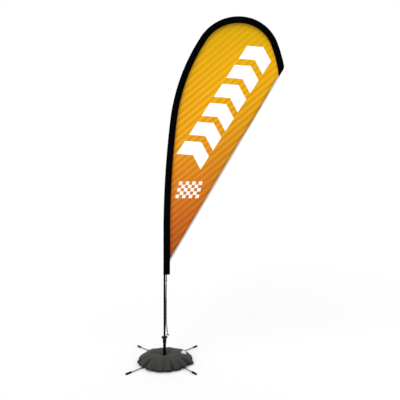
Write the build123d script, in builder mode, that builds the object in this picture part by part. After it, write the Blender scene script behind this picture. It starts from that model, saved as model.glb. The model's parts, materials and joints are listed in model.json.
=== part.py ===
from build123d import *
from math import radians
import os

# A teardrop flag on a bent pole, standing on a folding cross base under a ring-shaped water bag.
#
# Millimetres, +Z up. The origin is on the floor, on the pole's axis, under the middle of the base.
# The pole rises along +Z and bends over towards +X, so the flag hangs in the XZ plane.

# ---------------------------------------------------------------- cross base
LEG_REACH = 425.0            # from the middle of the base to the end of a leg
LOWER_LEG_AZIMUTH = 45.0     # direction of the lower crossbar
UPPER_LEG_AZIMUTH = -45.0    # direction of the upper crossbar, with the base opened into a cross
TIP_RADIUS = 8.0
TIP_LENGTH = 55.0
TIP_END_WALL = 8.0
TIP_ROUNDING = 2.0
TIP_FLAT = 0.6               # depth of the flat that each rubber tip stands on
ROD_RADIUS = 4.75
SOCKET_RADIUS = 6.0
SOCKET_REACH = 260.0         # where the black socket ends and the chrome rod comes out
SOCKET_DEPTH = 60.0
SOCKET_ROOT = 16.0           # where the socket starts, inside the hub
HUB_RADIUS = 25.0
HUB_THICKNESS = 12.0
HUB_ROUNDING = 1.0
FLOOR_PAD_RADIUS = 22.0      # rubber pad that stands the hub on the floor
BOLT_RADIUS = 5.0
BOLT_HEAD_WIDTH = 17.0       # across flats
BOLT_HEAD_HEIGHT = 6.4
BOLT_RECESS_RADIUS = 10.3
BOLT_RECESS_DEPTH = 7.0
WASHER_THICKNESS = 1.0
WASHER_RADIUS = 15.0
RUNNING_GAP = 0.05           # radial or axial play between pieces that turn on each other

# ---------------------------------------------------------------- spindle and bearing
HOUSING_RADIUS = 18.0
HOUSING_FLOOR = 5.0
HOUSING_ROUNDING = 1.0
CIRCLIP_ROOM = 4.0           # height of the hollow under the bearing
CIRCLIP_ROOM_RADIUS = 12.0
BEARING_BORE_RADIUS = 6.0
BEARING_RADIUS = 14.0
BEARING_WIDTH = 8.0
BALL_RADIUS = 2.38
BALL_CIRCLE_RADIUS = 10.0
BALL_COUNT = 8
BALL_PLAY = 0.04
RACE_LAND = 1.4              # from the ball circle to the edge of either race
CAGE_THICKNESS = 1.4
CAGE_HEIGHT = 5.6
SNAP_RING_THICKNESS = 1.2
SNAP_RING_INNER = 12.6
SNAP_RING_OUTER = 15.0
SNAP_RING_GAP = 7.0
CIRCLIP_THICKNESS = 1.0
CIRCLIP_INNER = 5.4
CIRCLIP_OUTER = 8.0
CIRCLIP_GAP = 4.0
HOUSING_LIP = 1.3            # housing above the snap ring
SPINDLE_RADIUS = 8.0
SPINDLE_FOOT_GAP = 1.5       # between the pivot bolt's end and the spindle's foot
SPINDLE_TOP = 136.0
SPINDLE_FLANGE_RADIUS = 12.5
SPINDLE_FLANGE_THICKNESS = 3.0
SPINDLE_FLANGE_GAP = 0.5     # between the housing and the flange
SPINDLE_CHAMFER = 2.0

# ---------------------------------------------------------------- pole
FOOT_TUBE_RADIUS = 14.0
FOOT_TUBE_BORE = 12.5
FOOT_TUBE_TOP = 159.0
BUSH_LENGTH = 20.0
COLLAR_RADIUS = 17.5
COLLAR_TOP = 199.0
COLLAR_SPIGOT = 20.0         # how far the collar reaches down into the foot tube
COLLAR_DRAIN_RADIUS = 6.0
COLLAR_ROUNDING = 3.0
COLLAR_GROOVE_DEPTH = 1.2
COLLAR_GROOVE_WIDTH = 2.5
COLLAR_GROOVE_PLACES = (0.3, 0.6)  # shares of the collar's height
POLE_BOTTOM = 145.0
BEND_START = 1170.0          # height where the pole begins to lean over
# The bent pole is a chain of arcs, each (radius, degrees), bending towards the flag.
BEND_ARCS = ((8930, 6.8), (1815, 26.5), (410, 65.5), (372, 60.0), (1210, 15.0))
POLE_OVERLAP = 80.0          # how far each section plugs into the one below
LOWER_POLE_RADII = (9.5, 8.05)
SECOND_POLE_RADII = (8.0, 6.55)
THIRD_POLE_RADII = (6.5, 4.55)
TIP_ROD_RADIUS = 4.5
FERRULE_LENGTH = 30.0
FERRULE_WALL = 1.0
ROD_END_SETBACK = 75.0       # bare end of the rod, measured back from the end of the bend
ROD_CAP_RADIUS = 6.5
ROD_CAP_LENGTH = 25.0
ROD_CAP_WALL = 5.0

# ---------------------------------------------------------------- flag
SLEEVE_BOTTOM = 793.0
SLEEVE_RADIUS = 11.0         # outside of the sleeve where it wraps the pole
SLEEVE_BORE = 10.0
SLEEVE_TAIL = 49.0           # from the pole's axis to the middle of the seam's edge
SLEEVE_TAIL_RADIUS = 2.0
SLEEVE_HOLLOW_TAIL = 38.0
SLEEVE_HOLLOW_TAIL_RADIUS = 0.6
SEAM_INSET = 44.0            # where the flag's panels start, inside the sleeve's seam
FLAG_FOOT_HEIGHT = 897.0     # where the free edge meets the sleeve
POCKET_LENGTH = 150.0
POCKET_END_WALL = 9.0
TIP_CUT_OUTER = (1117.0, 2706.0)
TIP_CUT_INNER = (1068.0, 2645.0)
PANEL_THICKNESS = 0.5
HEM_WIDTH = 14.0
HEM_CATCH = 11.0             # how far the hem tape laps over the panels
HEM_THICKNESS = 2.6
HEM_SEAM_GAP = 0.5           # between the hem's ends and the sleeve

# ---------------------------------------------------------------- tension cord
CORD_TOP_X = 18.0
ANCHOR_HEIGHT = 741.0        # where the webbing bears on the metal loop
WEBBING_WIDTH = 8.0
WEBBING_RADII = (3.0, 1.6)   # outside and inside of the webbing's lower bight
WEBBING_TOP = 815.0
ANCHOR_WIRE_RADIUS = 1.2
ANCHOR_SIZE = (12.4, 13.0)   # centre line of the metal loop
ANCHOR_CORNER = 1.8
CORD_RADIUS = 2.5
CORD_BIGHT = 5.8             # half the distance between the cord's two strands
HOOK_CENTRE = (29.5, 236.0)
HOOK_WIRE_RADIUS = 3.2
HOOK_STEM_X = 21.0
HOOK_TIP_X = 38.0
HOOK_TIP_DROP = 8.0
HOOK_BEND = 3.5
HOOK_BALL_RADIUS = 4.4
RING_BOTTOM = 200.5
RING_HEIGHT = 17.5
RING_RADIUS = 15.5
RING_PLAY = 0.08
RING_ROUNDING = 1.5
LUG_LENGTH = 26.0            # from the pole's axis to the end of the hook's lug
LUG_THICKNESS = 10.0
LUG_HEIGHT = 14.0
LUG_ROUNDING = 2.0
BOSS_RADIUS = 7.5
BOSS_REACH = 17.0
SCREW_RADIUS = 2.5
SCREW_TIP = 9.6              # from the pole's axis to the screw's tip
KNOB_RADIUS = 10.0
KNOB_GAP = 0.5               # between the boss and the knob
KNOB_LENGTH = 9.5
KNOB_CHAMFER = 0.6
KNOB_FLUTES = 8
KNOB_FLUTE_RADIUS = 1.6

# ---------------------------------------------------------------- water bag
# Points of the bag's section, each (radius, height).
BAG_HOLE_BOTTOM = (24.0, 30.5)
BAG_HOLE_TOP = (24.0, 46.5)
BAG_CREST = (105.0, 62.0)
BAG_SHOULDER = (212.0, 43.0)
BAG_RIM = (246.0, 28.0)
BAG_BELLY = (236.0, 21.5)
BAG_SKIN = 1.2
PIPING_RADIUS = 3.2
FILLER_PLACE = 0.82          # share of the way from the hole to the shoulder
FILLER_AZIMUTH = 7.0
FILLER_FLANGE_RADIUS = 26.0
FILLER_FLANGE_THICKNESS = 1.6
NECK_RADII = (16.0, 13.0)
NECK_TOP = 9.0
NECK_DEPTH = 4.0
CAP_RADIUS = 20.0
CAP_BOTTOM = 2.2
CAP_TOP = 13.0
CAP_LID = 2.6
CAP_RIBS = 24
CAP_RIB_RADIUS = 0.9
SEAL_PLAY = 0.05

# ---------------------------------------------------------------- sizes that follow
leg_axis = TIP_RADIUS - TIP_FLAT
hub_bottom = leg_axis - HUB_THICKNESS / 2
washer_bottom = leg_axis + HUB_THICKNESS / 2
washer_top = washer_bottom + WASHER_THICKNESS
upper_hub_bottom = washer_top + RUNNING_GAP
upper_hub_middle = upper_hub_bottom + HUB_THICKNESS / 2
housing_bottom = upper_hub_bottom + HUB_THICKNESS + RUNNING_GAP
cavity_bottom = housing_bottom + HOUSING_FLOOR
bearing_bottom = cavity_bottom + CIRCLIP_ROOM
bearing_middle = bearing_bottom + BEARING_WIDTH / 2
bearing_top = bearing_bottom + BEARING_WIDTH
snap_ring_top = bearing_top + SNAP_RING_THICKNESS
housing_top = snap_ring_top + HOUSING_LIP
flange_bottom = housing_top + SPINDLE_FLANGE_GAP
flange_top = flange_bottom + SPINDLE_FLANGE_THICKNESS
foot_tube_bottom = flange_top + RUNNING_GAP
ring_middle = RING_BOTTOM + RING_HEIGHT / 2
liner_face = PANEL_THICKNESS / 2              # from the flag's middle plane to the liner's face
panel_face_depth = 1.5 * PANEL_THICKNESS      # from the flag's middle plane to a printed face


# ---------------------------------------------------------------- helpers
def turned(*steps):
    """A round solid on the pole's axis, made of steps: (bottom, top, radius)."""
    with BuildPart() as solid:
        for bottom, top, radius in steps:
            with BuildSketch(Plane.XY.offset(bottom)):
                Circle(radius)
            extrude(amount=top - bottom)
    return solid.part


def leg_plane(azimuth, middle_height):
    """The plane at the pivot whose normal runs out along a leg, down to the end of its tip."""
    outwards = Vector(LEG_REACH, 0, leg_axis - middle_height).rotate(Axis.Z, azimuth)
    return Plane(origin=(0, 0, middle_height), z_dir=outwards)


def leg_pair(azimuth, middle_height, start, end, radius):
    """Two round bars, on opposite legs, between two distances from the pivot."""
    with BuildPart() as pair:
        for direction in (azimuth, azimuth + 180):
            with BuildSketch(leg_plane(direction, middle_height).offset(start)):
                Circle(radius)
            extrude(amount=end - start)
    return pair.part


def pole_stretch(start, end):
    """The pole's centre line between two distances from its lower end."""
    return pole_axis.wire().trim(start / pole_length, end / pole_length)


def across(path):
    """The plane square to a path at its start, with +X towards the flag."""
    return Plane(origin=path @ 0, x_dir=Vector(0, 1, 0).cross(path % 0), z_dir=path % 0)


def bent_bar(start, end, radius):
    """A round bar that follows the pole between two distances from its lower end."""
    path = pole_stretch(start, end)
    with BuildPart() as bar:
        with BuildSketch(across(path)):
            Circle(radius)
        sweep(path=path)
    return bar.part


def drop_bar(start, end, radius, tail, tail_radius):
    """A bar of drop-shaped section along the pole: round at the pole, thin towards the flag."""
    path = pole_stretch(start, end)
    with BuildPart() as bar:
        with BuildSketch(across(path)):
            Circle(radius)
            with Locations((tail, 0)):
                Circle(tail_radius)
            make_hull()
        sweep(path=path)
    return bar.part


def flag_face(inset, foot_height):
    """The area between a line at an inset from the pole's axis and the flag's free edge."""
    with BuildSketch(Plane.XZ) as face:
        with BuildLine():
            line = Line((inset, foot_height), (inset, BEND_START))
            for radius, angle in BEND_ARCS:
                line = JernArc(line @ 1, line % 1, radius - inset, -angle)
            Line(line @ 1, (inset, foot_height))
        make_face()
    return face.sketch


def flat_layer(face, front, back):
    """A flat piece of cloth between two distances in front of the flag's middle plane."""
    with BuildPart() as layer:
        extrude(face.moved(Location((0, -back, 0))), amount=front - back, dir=(0, -1, 0))
    return layer.part


# ---------------------------------------------------------------- cross base
def crossbar(azimuth, middle_height):
    """A hub with two leg sockets welded into it, without its bolt hole."""
    with BuildPart() as bar:
        with BuildSketch(Plane.XY.offset(middle_height - HUB_THICKNESS / 2)):
            Circle(HUB_RADIUS)
        extrude(amount=HUB_THICKNESS)
        fillet(bar.edges().filter_by(GeomType.CIRCLE), HUB_ROUNDING)
        add(leg_pair(azimuth, middle_height, SOCKET_ROOT, SOCKET_REACH, SOCKET_RADIUS))
        bore_start = SOCKET_REACH - SOCKET_DEPTH
        bores = leg_pair(azimuth, middle_height, bore_start, SOCKET_REACH, ROD_RADIUS)
        add(bores, mode=Mode.SUBTRACT)
    return bar.part


with BuildPart() as lower_crossbar:
    add(crossbar(LOWER_LEG_AZIMUTH, leg_axis))
    with Locations(Plane(origin=(0, 0, hub_bottom), z_dir=(0, 0, -1))):
        CounterBoreHole(BOLT_RADIUS, BOLT_RECESS_RADIUS, BOLT_RECESS_DEPTH)

with BuildPart() as upper_crossbar:
    add(crossbar(UPPER_LEG_AZIMUTH, upper_hub_middle))
    with Locations((0, 0, upper_hub_middle)):
        Hole(BOLT_RADIUS + RUNNING_GAP)


def leg_rods(azimuth, middle_height):
    """Two bright rods, each from deep in its socket to the end wall of its tip."""
    with BuildPart() as rods:
        end = LEG_REACH - TIP_END_WALL
        add(leg_pair(azimuth, middle_height, SOCKET_REACH - SOCKET_DEPTH, end, ROD_RADIUS))
    return rods


def leg_tips(azimuth, middle_height):
    """Two rubber tips, bored for the rods and flattened where they stand on the floor."""
    with BuildPart() as tips:
        start = LEG_REACH - TIP_LENGTH
        add(leg_pair(azimuth, middle_height, start, LEG_REACH, TIP_RADIUS))
        fillet(tips.edges().filter_by(GeomType.CIRCLE), TIP_ROUNDING)
        bores = leg_pair(azimuth, middle_height, start, LEG_REACH - TIP_END_WALL, ROD_RADIUS)
        add(bores, mode=Mode.SUBTRACT)
        split(bisect_by=Plane.XY, keep=Keep.TOP)
    return tips


lower_leg_rods = leg_rods(LOWER_LEG_AZIMUTH, leg_axis)
upper_leg_rods = leg_rods(UPPER_LEG_AZIMUTH, upper_hub_middle)
lower_leg_tips = leg_tips(LOWER_LEG_AZIMUTH, leg_axis)
upper_leg_tips = leg_tips(UPPER_LEG_AZIMUTH, upper_hub_middle)

with BuildPart() as pivot_bolt:
    head_top = hub_bottom + BOLT_RECESS_DEPTH
    with BuildSketch(Plane.XY.offset(head_top - BOLT_HEAD_HEIGHT)):
        RegularPolygon(BOLT_HEAD_WIDTH / 2, 6, major_radius=False)
    extrude(amount=BOLT_HEAD_HEIGHT)
    with BuildSketch(Plane.XY.offset(head_top)):
        Circle(BOLT_RADIUS)
    extrude(amount=cavity_bottom - head_top)

with BuildPart() as floor_pad:
    add(turned((0, hub_bottom, FLOOR_PAD_RADIUS)))

with BuildPart() as fold_washer:
    add(turned((washer_bottom, washer_top, WASHER_RADIUS)))
    with Locations((0, 0, washer_top)):
        Hole(BOLT_RADIUS)

# ---------------------------------------------------------------- bearing and spindle
with BuildPart() as bearing_housing:
    add(turned((housing_bottom, housing_top, HOUSING_RADIUS)))
    fillet(bearing_housing.edges().group_by(Axis.Z)[-1], HOUSING_ROUNDING)
    hollow = turned(
        (housing_bottom, cavity_bottom, BOLT_RADIUS),
        (cavity_bottom, bearing_bottom, CIRCLIP_ROOM_RADIUS),
        (bearing_bottom, housing_top, BEARING_RADIUS),
        (bearing_top, snap_ring_top, SNAP_RING_OUTER),
    )
    add(hollow, mode=Mode.SUBTRACT)


def race(outer, inner):
    """A bearing ring with the balls' groove in it."""
    with BuildPart() as ring:
        add(turned((bearing_bottom, bearing_top, outer)))
        add(turned((bearing_bottom, bearing_top, inner)), mode=Mode.SUBTRACT)
        with BuildSketch(Plane.XZ):
            with Locations((BALL_CIRCLE_RADIUS, bearing_middle)):
                Circle(BALL_RADIUS + BALL_PLAY)
        revolve(axis=Axis.Z, mode=Mode.SUBTRACT)
    return ring


bearing_outer_race = race(BEARING_RADIUS, BALL_CIRCLE_RADIUS + RACE_LAND)
bearing_inner_race = race(BALL_CIRCLE_RADIUS - RACE_LAND, BEARING_BORE_RADIUS)

with BuildPart() as bearing_balls:
    with Locations((0, 0, bearing_middle)):
        with PolarLocations(BALL_CIRCLE_RADIUS, BALL_COUNT):
            Sphere(BALL_RADIUS)

with BuildPart() as bearing_cage:
    with BuildSketch(Plane.XY.offset(bearing_middle - CAGE_HEIGHT / 2)):
        Circle(BALL_CIRCLE_RADIUS + CAGE_THICKNESS / 2)
        Circle(BALL_CIRCLE_RADIUS - CAGE_THICKNESS / 2, mode=Mode.SUBTRACT)
    extrude(amount=CAGE_HEIGHT)
    with Locations((0, 0, bearing_middle)):
        with PolarLocations(BALL_CIRCLE_RADIUS, BALL_COUNT):
            pocket_radius = BALL_RADIUS + BALL_PLAY / 2
            Cylinder(pocket_radius, 2 * CAGE_THICKNESS, rotation=(0, 90, 0), mode=Mode.SUBTRACT)


def spring_ring(bottom, thickness, outer, inner, gap):
    """A flat spring ring with a gap, as used to keep parts on a shaft or in a bore."""
    with BuildPart() as ring:
        with BuildSketch(Plane.XY.offset(bottom)):
            Circle(outer)
            Circle(inner, mode=Mode.SUBTRACT)
            with Locations((0, outer)):
                Rectangle(gap, outer, mode=Mode.SUBTRACT)
        extrude(amount=thickness)
    return ring


bearing_snap_ring = spring_ring(
    bearing_top, SNAP_RING_THICKNESS, SNAP_RING_OUTER, SNAP_RING_INNER, SNAP_RING_GAP
)
circlip_bottom = bearing_bottom - CIRCLIP_THICKNESS
spindle_circlip = spring_ring(
    circlip_bottom, CIRCLIP_THICKNESS, CIRCLIP_OUTER, CIRCLIP_INNER, CIRCLIP_GAP
)

with BuildPart() as spindle:
    stem = turned(
        (cavity_bottom + SPINDLE_FOOT_GAP, bearing_top, BEARING_BORE_RADIUS),
        (bearing_top, flange_bottom, SPINDLE_RADIUS),
        (flange_bottom, flange_top, SPINDLE_FLANGE_RADIUS),
        (flange_top, SPINDLE_TOP, SPINDLE_RADIUS),
    )
    add(stem)
    chamfer(spindle.edges().group_by(Axis.Z)[-1], SPINDLE_CHAMFER)
    with BuildSketch(Plane.XY.offset(circlip_bottom)):
        Circle(BEARING_BORE_RADIUS)
        Circle(CIRCLIP_INNER, mode=Mode.SUBTRACT)
    extrude(amount=CIRCLIP_THICKNESS, mode=Mode.SUBTRACT)


# ---------------------------------------------------------------- foot of the pole
with BuildPart() as foot_tube:
    add(turned((foot_tube_bottom, FOOT_TUBE_TOP, FOOT_TUBE_RADIUS)))
    add(turned((foot_tube_bottom, FOOT_TUBE_TOP, FOOT_TUBE_BORE)), mode=Mode.SUBTRACT)


def bush(bottom):
    """A plastic bush in the foot tube that runs on the spindle."""
    with BuildPart() as ring:
        add(turned((bottom, bottom + BUSH_LENGTH, FOOT_TUBE_BORE)))
        with Locations((0, 0, bottom + BUSH_LENGTH)):
            Hole(SPINDLE_RADIUS + RUNNING_GAP)
    return ring


collar_bottom = FOOT_TUBE_TOP - COLLAR_SPIGOT
lower_bush = bush(foot_tube_bottom)
upper_bush = bush(collar_bottom - BUSH_LENGTH)

with BuildPart() as pole_collar:
    add(turned((FOOT_TUBE_TOP, COLLAR_TOP, COLLAR_RADIUS)))
    fillet(pole_collar.edges().group_by(Axis.Z)[-1], COLLAR_ROUNDING)
    for share in COLLAR_GROOVE_PLACES:
        groove_bottom = FOOT_TUBE_TOP + share * (COLLAR_TOP - FOOT_TUBE_TOP)
        with BuildSketch(Plane.XY.offset(groove_bottom)):
            Circle(COLLAR_RADIUS)
            Circle(COLLAR_RADIUS - COLLAR_GROOVE_DEPTH, mode=Mode.SUBTRACT)
        extrude(amount=COLLAR_GROOVE_WIDTH, mode=Mode.SUBTRACT)
    add(turned((collar_bottom, FOOT_TUBE_TOP, FOOT_TUBE_BORE)))
    passage = turned(
        (collar_bottom, POLE_BOTTOM, COLLAR_DRAIN_RADIUS),
        (POLE_BOTTOM, COLLAR_TOP, LOWER_POLE_RADII[0]),
    )
    add(passage, mode=Mode.SUBTRACT)

# ---------------------------------------------------------------- the pole's four sections
with BuildLine(Plane.XZ) as pole_axis:
    stretch = Line((0, POLE_BOTTOM), (0, BEND_START))
    for bend_radius, bend_angle in BEND_ARCS:
        stretch = JernArc(stretch @ 1, stretch % 1, bend_radius, -bend_angle)

pole_length = pole_axis.wire().length
lower_pole_end = BEND_START - POLE_BOTTOM
second_pole_end = lower_pole_end + BEND_ARCS[0][0] * radians(BEND_ARCS[0][1])
third_pole_end = second_pole_end + BEND_ARCS[1][0] * radians(BEND_ARCS[1][1])
rod_end = pole_length - ROD_END_SETBACK


def pole_tube(start, end, radii):
    """One hollow section of the pole."""
    with BuildPart() as tube:
        add(bent_bar(start, end, radii[0]))
        add(bent_bar(start, end, radii[1]), mode=Mode.SUBTRACT)
    return tube


lower_pole = pole_tube(0, lower_pole_end, LOWER_POLE_RADII)
second_pole = pole_tube(lower_pole_end - POLE_OVERLAP, second_pole_end, SECOND_POLE_RADII)
third_pole = pole_tube(second_pole_end - POLE_OVERLAP, third_pole_end, THIRD_POLE_RADII)

with BuildPart() as tip_rod:
    add(bent_bar(third_pole_end - POLE_OVERLAP, rod_end, TIP_ROD_RADIUS))


def ferrule(mouth, pole_radius):
    """A ring pressed around the mouth of a thin pole section."""
    return pole_tube(mouth - FERRULE_LENGTH, mouth, (pole_radius + FERRULE_WALL, pole_radius))


second_ferrule = ferrule(second_pole_end, SECOND_POLE_RADII[0])
third_ferrule = ferrule(third_pole_end, THIRD_POLE_RADII[0])

with BuildPart() as rod_tip_cap:
    add(bent_bar(rod_end - ROD_CAP_LENGTH, rod_end + ROD_CAP_WALL, ROD_CAP_RADIUS))
    add(bent_bar(rod_end - ROD_CAP_LENGTH, rod_end, TIP_ROD_RADIUS), mode=Mode.SUBTRACT)

# ---------------------------------------------------------------- flag
panel_area = flag_face(SEAM_INSET, FLAG_FOOT_HEIGHT)
panel_stack = flat_layer(panel_area, panel_face_depth, -panel_face_depth)
sleeve_start = SLEEVE_BOTTOM - POLE_BOTTOM
pocket_start = pole_length - POCKET_LENGTH

with BuildPart() as pole_sleeve:
    add(drop_bar(sleeve_start, pocket_start, SLEEVE_RADIUS, SLEEVE_TAIL, SLEEVE_TAIL_RADIUS))
    bore = drop_bar(
        sleeve_start, pocket_start, SLEEVE_BORE, SLEEVE_HOLLOW_TAIL, SLEEVE_HOLLOW_TAIL_RADIUS
    )
    add(bore, mode=Mode.SUBTRACT)
    add(panel_stack, mode=Mode.SUBTRACT)

with BuildPart() as tip_pocket:
    add(drop_bar(pocket_start, pole_length, SLEEVE_RADIUS, SLEEVE_TAIL, SLEEVE_TAIL_RADIUS))
    add(bent_bar(pocket_start, rod_end + POCKET_END_WALL, SLEEVE_BORE), mode=Mode.SUBTRACT)
    add(panel_stack, mode=Mode.SUBTRACT)
    cut = Line(TIP_CUT_INNER, TIP_CUT_OUTER, mode=Mode.PRIVATE)
    cut_direction = Vector((cut % 0).X, 0, (cut % 0).Y)
    cut_normal = Vector(0, -1, 0).cross(cut_direction)
    split(bisect_by=Plane(origin=(TIP_CUT_INNER[0], 0, TIP_CUT_INNER[1]), z_dir=cut_normal))

# The free edge is the long straight side of the panels, from the foot of the seam to the tip.
free_edge = panel_area.edges().filter_by(GeomType.LINE).sort_by(SortBy.LENGTH)[-1]
edge_foot, edge_tip = free_edge.vertices().sort_by(Axis.Z)


def edge_strip(width):
    """A strip of the flag, of one width, along its free edge."""
    foot = Vector(edge_foot.X, edge_foot.Z)
    tip = Vector(edge_tip.X, edge_tip.Z)
    inwards = (tip - foot).rotate(Axis.Z, 90).normalized() * width
    with BuildSketch(Plane.XZ) as strip:
        with BuildLine():
            Polyline(tuple(foot), tuple(tip), tuple(tip + inwards), tuple(foot + inwards), close=True)
        make_face()
    return strip.sketch


with BuildSketch(Plane.XZ) as panel_face:
    add(panel_area)
    add(edge_strip(HEM_WIDTH - HEM_CATCH), mode=Mode.SUBTRACT)

with BuildSketch(Plane.XZ) as hem_face:
    add(edge_strip(HEM_WIDTH))
    hem_inset = SLEEVE_TAIL + SLEEVE_TAIL_RADIUS + HEM_SEAM_GAP
    add(flag_face(hem_inset, SLEEVE_BOTTOM), mode=Mode.INTERSECT)

with BuildPart() as front_panel:
    add(flat_layer(panel_face.sketch, panel_face_depth, liner_face))

with BuildPart() as blockout_liner:
    add(flat_layer(panel_face.sketch, liner_face, -liner_face))

with BuildPart() as back_panel:
    add(flat_layer(panel_face.sketch, -liner_face, -panel_face_depth))

with BuildPart() as edge_hem:
    add(flat_layer(hem_face.sketch, HEM_THICKNESS / 2, -HEM_THICKNESS / 2))
    panels = flat_layer(panel_face.sketch, panel_face_depth, -panel_face_depth)
    add(panels, mode=Mode.SUBTRACT)

# ---------------------------------------------------------------- tension cord
with BuildPart() as anchor_webbing:
    with BuildSketch(Plane.YZ.offset(CORD_TOP_X - WEBBING_WIDTH / 2)):
        bight_height = WEBBING_TOP - ANCHOR_HEIGHT
        with Locations((0, ANCHOR_HEIGHT + bight_height / 2)):
            SlotCenterToCenter(bight_height, 2 * WEBBING_RADII[0], rotation=90)
            SlotCenterToCenter(bight_height, 2 * WEBBING_RADII[1], rotation=90, mode=Mode.SUBTRACT)
    extrude(amount=WEBBING_WIDTH)

with BuildPart() as anchor_ring:
    with BuildSketch(Plane.XZ, mode=Mode.PRIVATE) as anchor_outline:
        with Locations((CORD_TOP_X, ANCHOR_HEIGHT - ANCHOR_SIZE[1] / 2)):
            RectangleRounded(*ANCHOR_SIZE, ANCHOR_CORNER)
    anchor_path = anchor_outline.sketch.wire()
    with BuildSketch(Plane(origin=anchor_path @ 0, z_dir=anchor_path % 0)):
        Circle(ANCHOR_WIRE_RADIUS)
    sweep(path=anchor_path)

with BuildPart() as bungee_cord:
    cord_top = Vector(CORD_TOP_X, 0, ANCHOR_HEIGHT - ANCHOR_SIZE[1])
    cord_bottom = Vector(HOOK_CENTRE[0], 0, HOOK_CENTRE[1])
    cord_run = cord_top - cord_bottom
    cord_normal = Vector(0, 1, 0).cross(cord_run)
    with BuildLine(Plane(origin=cord_bottom, x_dir=(0, 1, 0), z_dir=cord_normal)) as cord_loop:
        up = Line((CORD_BIGHT, 0), (CORD_BIGHT, cord_run.length))
        over = JernArc(up @ 1, up % 1, CORD_BIGHT, 180)
        down = Line(over @ 1, (-CORD_BIGHT, 0))
        JernArc(down @ 1, down % 1, CORD_BIGHT, 180)
    with BuildSketch(Plane(origin=cord_loop.wire() @ 0, z_dir=cord_loop.wire() % 0)):
        Circle(CORD_RADIUS)
    sweep(path=cord_loop.wire())

with BuildPart() as tension_ring:
    add(turned((RING_BOTTOM, RING_BOTTOM + RING_HEIGHT, RING_RADIUS)))
    fillet(tension_ring.edges().filter_by(GeomType.CIRCLE), RING_ROUNDING)
    with Locations((LUG_LENGTH / 2, 0, ring_middle)):
        Box(LUG_LENGTH, LUG_THICKNESS, LUG_HEIGHT)
    fillet(tension_ring.faces().sort_by(Axis.X)[-1].edges(), LUG_ROUNDING)
    with BuildSketch(Plane(origin=(0, 0, ring_middle), z_dir=(-1, 0, 0))):
        Circle(BOSS_RADIUS)
    extrude(amount=BOSS_REACH)
    with BuildSketch(Plane(origin=(0, 0, ring_middle), z_dir=(-1, 0, 0))):
        Circle(SCREW_RADIUS + RUNNING_GAP)
    extrude(amount=BOSS_REACH, mode=Mode.SUBTRACT)
    with Locations((0, 0, ring_middle)):
        Hole(LOWER_POLE_RADII[0] + RING_PLAY)
    with BuildSketch(Plane.XY.offset(ring_middle)):
        with Locations((HOOK_STEM_X, 0)):
            Circle(HOOK_WIRE_RADIUS)
    extrude(amount=LUG_HEIGHT, mode=Mode.SUBTRACT)

with BuildPart() as cord_hook:
    with BuildLine(Plane.XZ) as hook_path:
        FilletPolyline(
            (HOOK_STEM_X, ring_middle),
            (HOOK_STEM_X, HOOK_CENTRE[1]),
            (HOOK_TIP_X, HOOK_CENTRE[1]),
            (HOOK_TIP_X, HOOK_CENTRE[1] - HOOK_TIP_DROP),
            radius=HOOK_BEND,
        )
    with BuildSketch(Plane.XY.offset(ring_middle)):
        with Locations((HOOK_STEM_X, 0)):
            Circle(HOOK_WIRE_RADIUS)
    sweep(path=hook_path.wire())
    with Locations((HOOK_TIP_X, 0, HOOK_CENTRE[1] - HOOK_TIP_DROP)):
        Sphere(HOOK_BALL_RADIUS)

with BuildPart() as thumb_screw:
    knob_start = BOSS_REACH + KNOB_GAP
    with BuildSketch(Plane(origin=(-SCREW_TIP, 0, ring_middle), z_dir=(-1, 0, 0))):
        Circle(SCREW_RADIUS)
    extrude(amount=knob_start - SCREW_TIP)
    with BuildSketch(Plane(origin=(-knob_start, 0, ring_middle), z_dir=(-1, 0, 0))):
        Circle(KNOB_RADIUS)
        with PolarLocations(KNOB_RADIUS, KNOB_FLUTES):
            Circle(KNOB_FLUTE_RADIUS, mode=Mode.SUBTRACT)
    extrude(amount=KNOB_LENGTH)
    chamfer(thumb_screw.faces().sort_by(Axis.X)[0].edges(), KNOB_CHAMFER)

# ---------------------------------------------------------------- water bag
with BuildLine(Plane.XZ) as bag_crown:
    ThreePointArc(BAG_HOLE_TOP, BAG_CREST, BAG_SHOULDER)

with BuildSketch(Plane.XZ) as bag_section:
    with BuildLine():
        crown = ThreePointArc(BAG_HOLE_TOP, BAG_CREST, BAG_SHOULDER)
        TangentArc(crown @ 1, BAG_RIM, tangent=crown % 1)
        Polyline(BAG_RIM, BAG_BELLY, BAG_HOLE_BOTTOM, BAG_HOLE_TOP)
    make_face()

filler_spot = (bag_crown.edge() @ FILLER_PLACE).rotate(Axis.Z, FILLER_AZIMUTH)
filler_slope = bag_crown.edge() % FILLER_PLACE
filler_axis = Vector(-filler_slope.Z, 0, filler_slope.X).rotate(Axis.Z, FILLER_AZIMUTH)
filler_plane = Plane(origin=filler_spot, z_dir=filler_axis)


UPPER, LOWER = 1, -1


def bag_half(kept_side):
    """The upper or the lower fabric shell of the bag, parted at the height of its rim."""
    reach = 2 * BAG_RIM[0]
    with BuildPart() as shell:
        with BuildSketch(Plane.XZ):
            add(bag_section.sketch)
            offset(amount=-BAG_SKIN, mode=Mode.SUBTRACT)
            with Locations((BAG_RIM[0], BAG_RIM[1] + kept_side * reach / 2)):
                Rectangle(reach, reach, mode=Mode.INTERSECT)
        revolve(axis=Axis.Z)
    return shell.part


with BuildPart() as bag_top:
    add(bag_half(UPPER))
    with BuildSketch(filler_plane.offset(-NECK_DEPTH)):
        Circle(NECK_RADII[0])
    extrude(amount=2 * NECK_DEPTH, mode=Mode.SUBTRACT)

with BuildPart() as bag_bottom:
    add(bag_half(LOWER))

with BuildPart() as bag_piping:
    with BuildSketch(Plane.XZ):
        with Locations(BAG_RIM):
            Circle(PIPING_RADIUS)
        add(bag_section.sketch, mode=Mode.SUBTRACT)
    revolve(axis=Axis.Z)

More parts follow.
